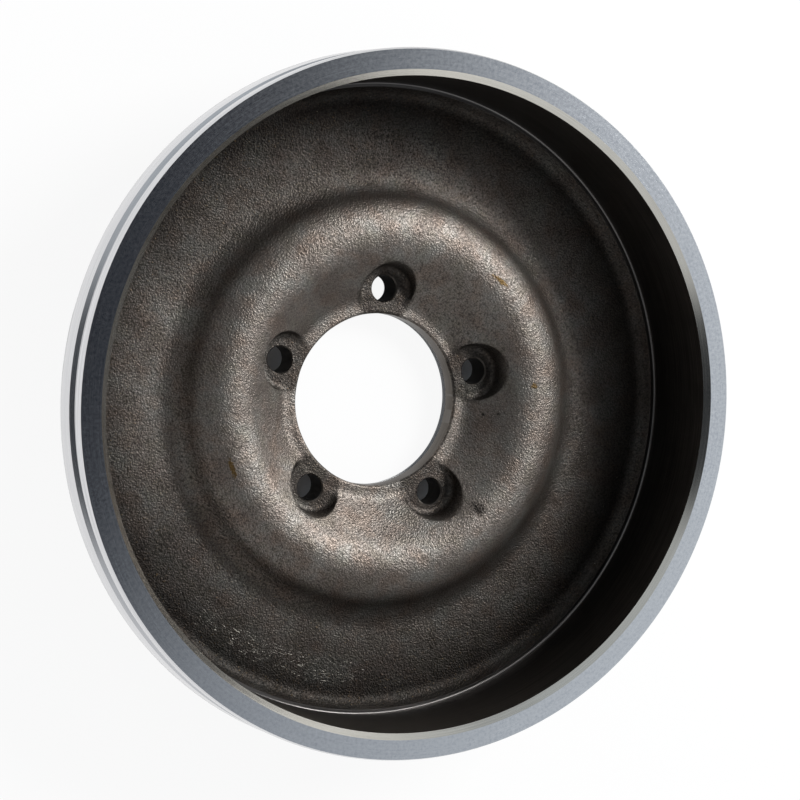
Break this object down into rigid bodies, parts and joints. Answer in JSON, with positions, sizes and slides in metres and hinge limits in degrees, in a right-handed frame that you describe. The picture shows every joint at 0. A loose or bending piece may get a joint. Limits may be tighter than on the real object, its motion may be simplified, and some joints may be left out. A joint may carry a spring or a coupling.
{
  "type": "brake drum",
  "caption": "Round cast iron brake drum: a machined ring with a wide rim face and a grooved outer edge, a ridged cast web, a centre bore and a circle of stud holes sunk in round pockets.",
  "frame": {"origin": "on the drum's axis, at the centre of the machined mounting face on the closed end, which is the lowest plane", "axes": "+Z along the axis, out of the open end; one stud hole lies near +Y, turned 2.7 degrees towards +X"},
  "size_m": [0.3884, 0.3884, 0.0845],
  "materials": {
    "grey_cast_iron": "rough as cast on the web and back, turned on the band, rim, lip and bore"
  },
  "bodies": {
    "root": {"brake_drum": "grey_cast_iron"}
  },
  "joints": []
}
